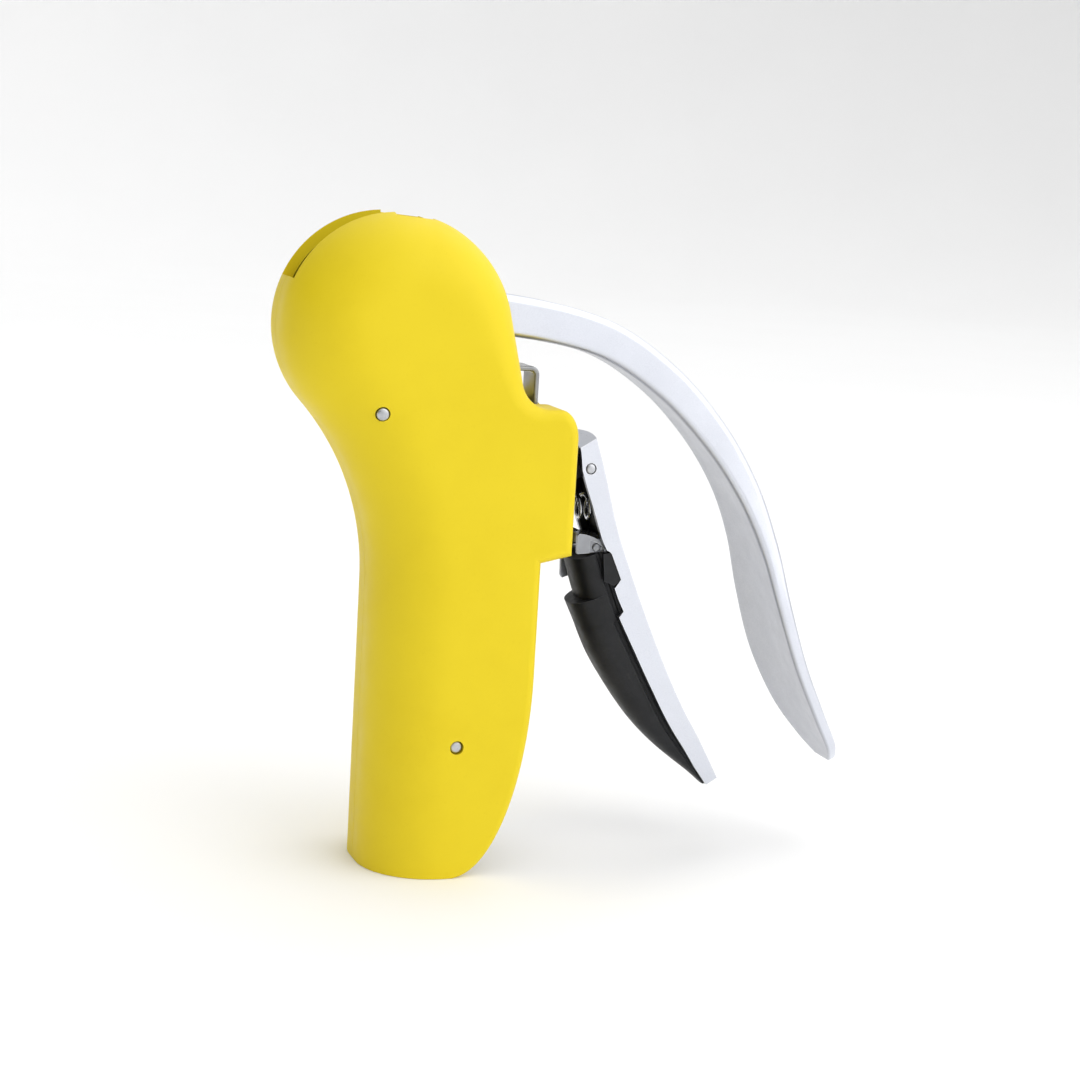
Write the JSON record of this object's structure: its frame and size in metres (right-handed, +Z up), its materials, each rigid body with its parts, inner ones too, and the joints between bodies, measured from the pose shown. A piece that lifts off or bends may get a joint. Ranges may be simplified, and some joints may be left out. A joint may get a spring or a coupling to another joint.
{
  "type": "lever corkscrew",
  "caption": "Vertical lever corkscrew: clamshell body over a bottle's neck, geared lever that drives a worm down and up, spring-loaded trigger that grips the neck.",
  "frame": {"origin": "on the worm's axis, in the plane of the body's mouth, where the bottle's neck goes in", "axes": "+Z up the worm from the mouth to the head; +X towards the lever and the trigger; Y across, the plane Y = 0 is the plane of symmetry"},
  "size_m": [0.1546, 0.04, 0.1598],
  "materials": {
    "shell": "smooth moulded, soft sheen",
    "pin_steel": "turned",
    "inner_steel": "plain, oiled",
    "black_plastic": "moulded",
    "rubber": "moulded, fine grain",
    "satin_chrome": "satin plated casting",
    "bright_chrome": "bright plated"
  },
  "bodies": {
    "body": {"shell_near": "shell", "shell_far": "shell", "upper_pin_near": "pin_steel", "upper_pin_far": "pin_steel", "lower_pin_near": "pin_steel", "lower_pin_far": "pin_steel", "chassis_near": "inner_steel", "chassis_far": "inner_steel", "lever_axle": "inner_steel", "idler_axle": "inner_steel", "stop_pin": "inner_steel", "guide_block": "black_plastic", "neck_liner": "rubber", "bridge_strap": "bright_chrome", "trigger_bracket": "black_plastic", "trigger_spring": "inner_steel"},
    "lever": {"lever": "satin_chrome"},
    "idler": {"idler_pinion": "inner_steel"},
    "carriage": {"carriage": "black_plastic", "rack_near": "inner_steel", "rack_far": "inner_steel", "worm_washer": "inner_steel", "worm_nut": "inner_steel"},
    "worm": {"worm": "bright_chrome"},
    "trigger": {"trigger_channel": "satin_chrome", "trigger_pad": "rubber", "trigger_jaw": "bright_chrome", "jaw_rivet": "pin_steel", "trigger_pin": "pin_steel"}
  },
  "joints": [
    {"name": "lever_hinge", "type": "hinge", "parent": "body", "child": "lever", "pos_m": [-0.017, 0, 0.1327], "axis": [0, -1, 0], "range_deg": [0, 132]},
    {"name": "idler_spin", "type": "hinge", "parent": "body", "child": "idler", "pos_m": [-0.017, 0, 0.10795], "axis": [0, -1, 0], "range_deg": [-265, 0]},
    {"name": "carriage_slide", "type": "slide", "parent": "body", "child": "carriage", "axis": [0, 0, 1], "range_m": [-0.0381, 0]},
    {"name": "worm_spin", "type": "hinge", "parent": "carriage", "child": "worm", "pos_m": [0, 0, 0.11], "axis": [0, 0, 1], "range_deg": [-1370, 0]},
    {"name": "trigger_hinge", "type": "hinge", "parent": "body", "child": "trigger", "pos_m": [0.0339, 0, 0.0997], "axis": [0, 1, 0], "range_deg": [0, 31], "stiffness_Nm_per_rad": 0.25, "springref_deg": -20.05, "deforming": ["trigger_spring"]}
  ],
  "couplings": [
    {"joint": "idler_spin", "follows": "lever_hinge", "ratio": -2},
    {"joint": "carriage_slide", "follows": "lever_hinge", "m_per_rad": -0.0165},
    {"joint": "worm_spin", "follows": "lever_hinge", "ratio": -10.367}
  ]
}
